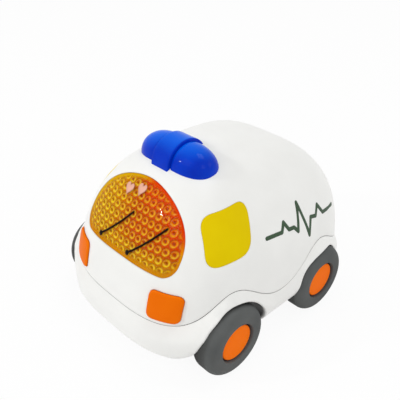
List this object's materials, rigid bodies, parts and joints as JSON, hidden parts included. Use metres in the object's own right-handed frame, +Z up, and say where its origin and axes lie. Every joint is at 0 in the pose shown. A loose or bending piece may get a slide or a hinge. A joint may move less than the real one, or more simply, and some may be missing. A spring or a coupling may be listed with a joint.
{
  "type": "friction toy car",
  "caption": "Chubby rounded toy van with a clipped-on light bar, amber windscreen and fat wheels; pushing it spins a geared flywheel on the rear axle that keeps it rolling.",
  "frame": {"origin": "on the ground under the middle of the car's box, between the wheels", "axes": "+Z up, +Y towards the rear along the car's length so the car faces -Y, +X towards the car's left side, parallel to the axles"},
  "size_m": [0.091, 0.1106, 0.0797],
  "materials": {
    "white_shell": "smooth moulded white plastic",
    "amber_lens": "clear amber plastic, dimpled inside",
    "blue_lens": "glossy blue plastic",
    "orange_trim": "satin orange",
    "yellow_trim": "satin yellow",
    "tyre": "smooth dark grey soft plastic",
    "wheel_core": "satin orange plastic",
    "steel": "plain steel",
    "motor_case": "dark plastic",
    "gear": "natural nylon",
    "screw": "zinc plated"
  },
  "bodies": {
    "car_body": {"upper_shell": "white_shell", "lower_shell": "white_shell", "windscreen": "amber_lens", "roof_light_bar": "blue_lens", "headlamp_left": "orange_trim", "headlamp_right": "orange_trim", "side_window_left": "yellow_trim", "side_window_right": "yellow_trim", "motor_case_left": "motor_case", "motor_case_right": "motor_case", "shell_screw_front_left": "screw", "shell_screw_front_right": "screw", "shell_screw_rear_left": "screw", "shell_screw_rear_right": "screw", "motor_screw_front": "screw", "motor_screw_rear": "screw"},
    "front_wheel_set": {"front_axle": "steel", "tyre_front_left": "tyre", "tyre_front_right": "tyre", "wheel_core_front_left": "wheel_core", "wheel_core_front_right": "wheel_core"},
    "rear_wheel_set": {"rear_axle": "steel", "axle_gear": "gear", "tyre_rear_left": "tyre", "tyre_rear_right": "tyre", "wheel_core_rear_left": "wheel_core", "wheel_core_rear_right": "wheel_core"},
    "step_up_set": {"step_up_gear": "gear", "step_up_shaft": "steel"},
    "flywheel_set": {"flywheel": "steel", "flywheel_pinion": "gear", "flywheel_shaft": "steel"}
  },
  "joints": [
    {"name": "front_axle_spin", "type": "hinge", "parent": "car_body", "child": "front_wheel_set", "pos_m": [0, -0.0295, 0.0148], "axis": [1, 0, 0], "continuous": true},
    {"name": "rear_axle_spin", "type": "hinge", "parent": "car_body", "child": "rear_wheel_set", "pos_m": [0, 0.0221, 0.0148], "axis": [1, 0, 0], "continuous": true},
    {"name": "step_up_spin", "type": "hinge", "parent": "car_body", "child": "step_up_set", "pos_m": [0, 0.01554, 0.02261], "axis": [1, 0, 0], "continuous": true},
    {"name": "flywheel_spin", "type": "hinge", "parent": "car_body", "child": "flywheel_set", "pos_m": [0, 0.00539, 0.02631], "axis": [1, 0, 0], "continuous": true}
  ],
  "couplings": [
    {"joint": "step_up_spin", "follows": "rear_axle_spin", "ratio": -2.4},
    {"joint": "flywheel_spin", "follows": "rear_axle_spin", "ratio": 6.24}
  ]
}
